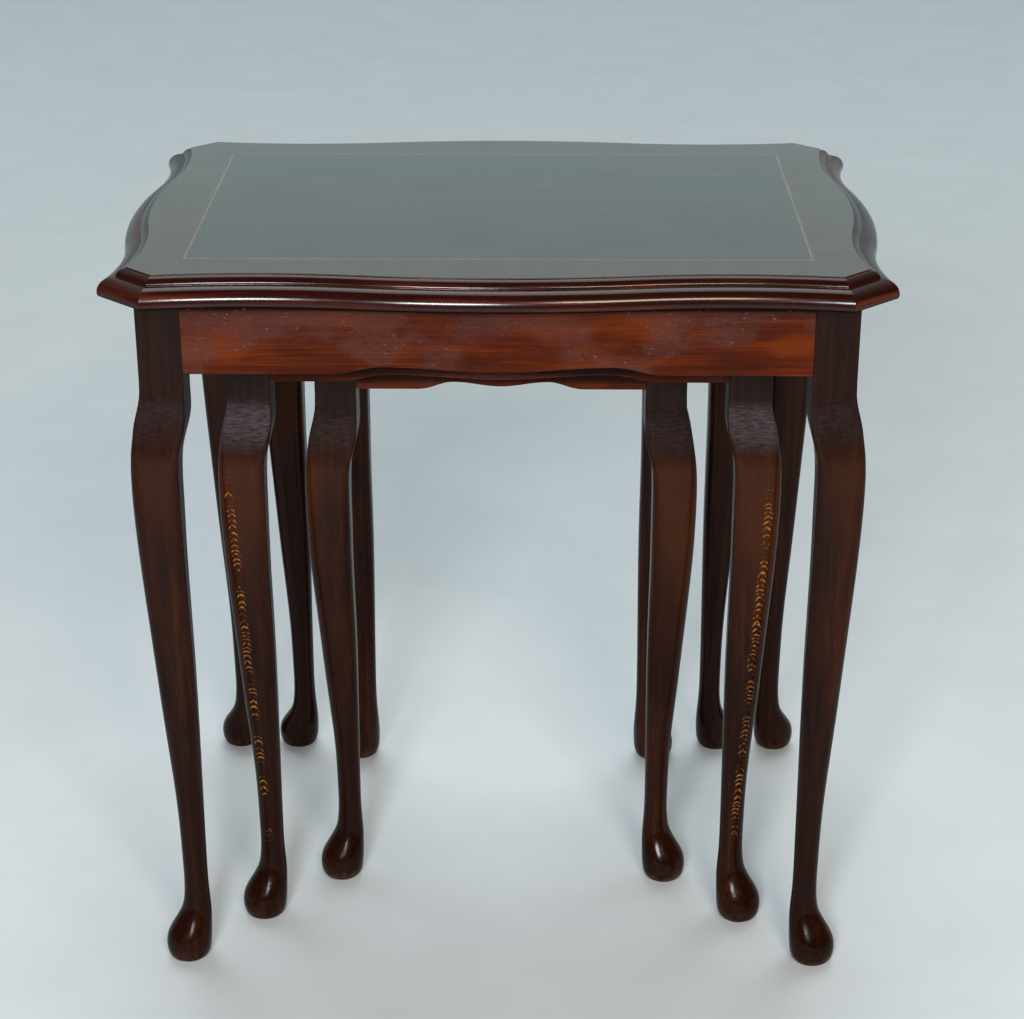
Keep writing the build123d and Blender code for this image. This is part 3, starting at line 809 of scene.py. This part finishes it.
APRONS = (("front_apron", X), ("left_apron", Y), ("right_apron", Y), ("back_apron", X))
BATTENS = (("front_batten", X), ("left_batten", Y), ("right_batten", Y), ("back_batten", X))

# A piece's number chooses where in the tree its grain comes from.
NUMBERS_PER_TABLE = 20
FIRST_EDGE_NUMBER = 7


def dress(node, material):
    """Gives a CAD node its material."""
    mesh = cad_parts[node].data
    mesh.materials.clear()
    mesh.materials.append(material)


def dress_table(table, first):
    """Materials for every node of one table, numbered on from a first piece number."""
    index = first
    for corner in CORNERS:
        dress(f"{table}_{corner}_leg", leg_material(table, corner, index))
        index += 1
    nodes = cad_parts
    for name, axis in APRONS:
        if f"{table}_{name}" in nodes:
            dress(f"{table}_{name}", apron_material(table, name, axis, index))
            index += 1
    for name, axis in BATTENS:
        if f"{table}_{name}" in nodes:
            material = bare_wood(f"{table}_{name}_beech", axis, index, BEECH_DARK, BEECH_LIGHT, 0.62)
            dress(f"{table}_{name}", material)
            index += 1
    board = bare_wood(f"{table}_top_board_ply", X, index, BOARD_DARK, BOARD_LIGHT, 0.60)
    dress(f"{table}_top_board", board)
    dowels = bare_wood(f"{table}_dowels_beech", Z, index, BEECH_DARK, BEECH_LIGHT, 0.60)
    dress(f"{table}_dowels", dowels)
    dress(f"{table}_screws", screw_material(table, index))
    make_edge(table, FIRST_EDGE_NUMBER + TABLES.index(table))
    dress(f"{table}_centre_veneer", centre_veneer_material(table, index + 2))
    dress(f"{table}_cross_banding", cross_banding_material(table, index + 3))
    dress(f"{table}_string_inlay", string_material(table, index + 4))


for number, table_name in enumerate(TABLES):
    dress_table(table_name, NUMBERS_PER_TABLE * number)


# ---------------------------------------------------------------- floor, light and camera

FLOOR_HALF = 30.0
FLOOR_COLOUR = (0.560, 0.600, 0.622)
FLOOR_TONE = (0.535, 0.575, 0.597)
STUDIO_FRONT = (0.06, 0.063, 0.066)
STUDIO_BACK = (0.43, 0.58, 0.59)
STUDIO_FRONT_ENDS = 0.05
STUDIO_BACK_STARTS = 0.70
COOL_WHITE = (0.96, 0.98, 1.0)
SKY_POWER = 1.5
SKY_WIDTH = radians(42)
SKY_TILT = radians(-30)
CAMERA_PLACE = (0.031, -1.592, 0.991)
CAMERA_DOWN = radians(23.74)
CAMERA_TURN = radians(-0.86)
CAMERA_TILT = radians(-0.10)
SENSOR_WIDTH = 36.0
LENS = 80.86

# Each light: name, place, target, size, power, colour.
SOFTBOXES = (
    ("key", (-0.30, -2.15, 1.30), (0.0, 0.0, 0.36), (0.45, 0.30), 44, (0.93, 0.96, 1.0)),
    ("warm_side", (0.55, -2.05, 1.85), (0.0, 0.0, 0.40), (0.60, 0.40), 28, (1.0, 0.84, 0.66)),
    ("left_fill", (-2.5, 2.0, 1.6), (0.0, 0.0, 0.3), (1.6, 1.2), 10, COOL_WHITE),
    ("right_fill", (2.5, 2.0, 1.6), (0.0, 0.0, 0.3), (1.6, 1.2), 10, COOL_WHITE),
)


def make_floor():
    """A plain pale floor."""
    corners = [(-1, -1), (1, -1), (1, 1), (-1, 1)]
    mesh = bpy.data.meshes.new("floor")
    points = [(x * FLOOR_HALF, y * FLOOR_HALF, 0.0) for x, y in corners]
    mesh.from_pydata(points, [], [(0, 1, 2, 3)])
    s = Shader("floor_paint")
    mottle = s.noise(s.position, scale=9, detail=4.0, roughness=0.6)
    colour = s.mix(s.span(mottle, 0.3, 0.7), FLOOR_TONE, FLOOR_COLOUR)
    normal = s.bump(s.noise(s.position, scale=160, detail=3.0), distance=0.0004, strength=0.2)
    mesh.materials.append(s.finish(colour, 0.62, normal))
    floor = bpy.data.objects.new("floor", mesh)
    bpy.context.scene.collection.objects.link(floor)


def make_world():
    """A pale studio, brighter behind the tables than in front of them."""
    world = bpy.data.worlds.new("studio")
    bpy.context.scene.world = world
    world.use_nodes = True
    tree = world.node_tree
    tree.nodes.clear()
    direction = tree.nodes.new("ShaderNodeTexCoord").outputs["Generated"]
    parts = tree.nodes.new("ShaderNodeSeparateXYZ")
    tree.links.new(direction, parts.inputs[0])
    spread = tree.nodes.new("ShaderNodeMapRange")
    spread.interpolation_type = "SMOOTHSTEP"
    tree.links.new(parts.outputs["Y"], spread.inputs[0])
    spread.inputs[1].default_value = STUDIO_FRONT_ENDS
    spread.inputs[2].default_value = STUDIO_BACK_STARTS
    mix = tree.nodes.new("ShaderNodeMix")
    mix.data_type = "RGBA"
    tree.links.new(spread.outputs[0], mix.inputs[0])
    mix.inputs[6].default_value = (*STUDIO_FRONT, 1.0)
    mix.inputs[7].default_value = (*STUDIO_BACK, 1.0)
    background = tree.nodes.new("ShaderNodeBackground")
    tree.links.new(mix.outputs[2], background.inputs["Color"])
    output = tree.nodes.new("ShaderNodeOutputWorld")
    tree.links.new(background.outputs[0], output.inputs["Surface"])


def softbox(name, place, target, size, power, colour):
    """A rectangular soft light aimed at a point."""
    light = bpy.data.lights.new(name, "AREA")
    light.shape = "RECTANGLE"
    light.size, light.size_y = size
    light.energy = power
    light.color = colour
    lamp = bpy.data.objects.new(name, light)
    lamp.location = place
    lamp.rotation_euler = (Vector(target) - Vector(place)).to_track_quat("-Z", "Y").to_euler()
    bpy.context.scene.collection.objects.link(lamp)


def make_sky_light():
    """Even light from high behind the tables, which keeps the floor pale all the way out."""
    light = bpy.data.lights.new("sky_light", "SUN")
    light.energy = SKY_POWER
    light.angle = SKY_WIDTH
    light.color = COOL_WHITE
    lamp = bpy.data.objects.new("sky_light", light)
    lamp.rotation_euler = (SKY_TILT, 0.0, 0.0)
    bpy.context.scene.collection.objects.link(lamp)


def make_camera():
    """A camera in front of the tables, a little to the right and looking down on them."""
    ahead = Vector((
        sin(CAMERA_TURN) * cos(CAMERA_DOWN),
        cos(CAMERA_TURN) * cos(CAMERA_DOWN),
        -sin(CAMERA_DOWN),
    ))
    right = ahead.cross(Vector((0, 0, 1))).normalized()
    above = right.cross(ahead)
    tilted_right = right * cos(CAMERA_TILT) + above * sin(CAMERA_TILT)
    tilted_above = above * cos(CAMERA_TILT) - right * sin(CAMERA_TILT)
    axes = Matrix((tilted_right, tilted_above, -ahead)).transposed()
    data = bpy.data.cameras.new("camera")
    data.sensor_width = SENSOR_WIDTH
    data.lens = LENS
    camera = bpy.data.objects.new("camera", data)
    camera.matrix_world = Matrix.Translation(CAMERA_PLACE) @ axes.to_4x4()
    bpy.context.scene.collection.objects.link(camera)
    bpy.context.scene.camera = camera


make_floor()
make_world()
for light_settings in SOFTBOXES:
    softbox(*light_settings)
make_sky_light()
make_camera()
bpy.context.scene.view_settings.view_transform = "Standard"
